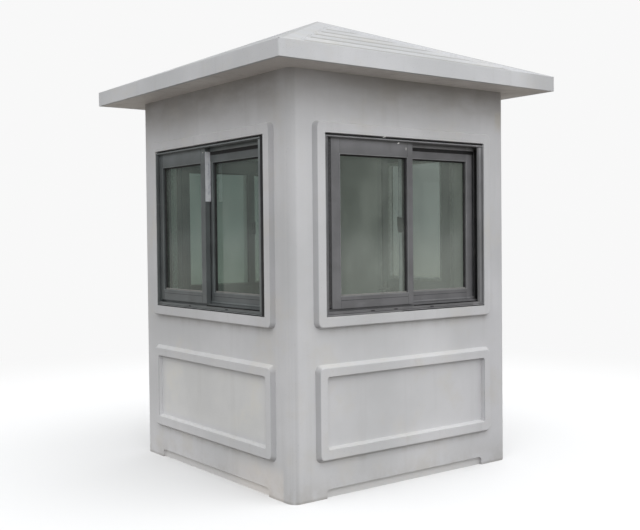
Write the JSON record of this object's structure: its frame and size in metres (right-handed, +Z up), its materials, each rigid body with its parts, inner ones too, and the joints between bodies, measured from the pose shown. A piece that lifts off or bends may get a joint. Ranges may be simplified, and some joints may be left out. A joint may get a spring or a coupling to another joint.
{
  "type": "security guard booth",
  "caption": "Square one-person guard booth: moulded pale grey walls, hipped stepped roof with wide eaves, dark sliding windows on three sides and a glazed side-hung door on the fourth",
  "frame": {"origin": "bottom centre of the booth, on the floor it stands on", "axes": "+Z up, -Y the front wall, -X the left wall, +X the wall with the door; the roof stands out equally on all sides"},
  "size_m": [1.89, 1.89, 2.5253],
  "materials": {
    "wall_composite": "pale grey moulded glass-fibre composite, satin gel coat",
    "roof_composite": "pale grey moulded glass-fibre composite, weathered",
    "window_metal": "charcoal powder-coated aluminium extrusion",
    "glazing": "green-tinted float glass",
    "latch_grey": "dark moulded latch",
    "floor_board": "grey floor covering on a stiff panel",
    "steel": "satin stainless steel"
  },
  "bodies": {
    "booth": {"back_wall": "wall_composite", "back_window_frame": "window_metal", "back_window_inner_pane": "glazing", "back_window_inner_sash": "window_metal", "back_window_latch": "latch_grey", "back_window_outer_pane": "glazing", "back_window_outer_sash": "window_metal", "ceiling_panel": "wall_composite", "corner_post_back_left": "wall_composite", "corner_post_back_right": "wall_composite", "corner_post_front_left": "wall_composite", "corner_post_front_right": "wall_composite", "door_frame": "wall_composite", "door_hinge_lower_fixed": "steel", "door_hinge_upper_fixed": "steel", "door_threshold": "window_metal", "floor_panel": "floor_board", "front_wall": "wall_composite", "front_window_frame": "window_metal", "front_window_inner_pane": "glazing", "front_window_inner_sash": "window_metal", "front_window_latch": "latch_grey", "front_window_outer_pane": "glazing", "front_window_outer_sash": "window_metal", "left_wall": "wall_composite", "left_window_frame": "window_metal", "left_window_inner_pane": "glazing", "left_window_inner_sash": "window_metal", "left_window_latch": "latch_grey", "left_window_outer_pane": "glazing", "left_window_outer_sash": "window_metal", "right_wall_front": "wall_composite", "right_wall_head": "wall_composite", "right_wall_rear": "wall_composite", "roof_shell": "roof_composite", "roof_soffit": "roof_composite"},
    "door": {"door_handle_inner": "steel", "door_handle_outer": "steel", "door_hinge_lower_moving": "steel", "door_hinge_upper_moving": "steel", "door_leaf": "wall_composite", "door_pane": "glazing"}
  },
  "joints": [
    {"name": "door_hinge", "type": "hinge", "parent": "booth", "child": "door", "pos_m": [0.762, -0.375, 0], "axis": [0, 0, -1], "range_deg": [0, 100]}
  ]
}
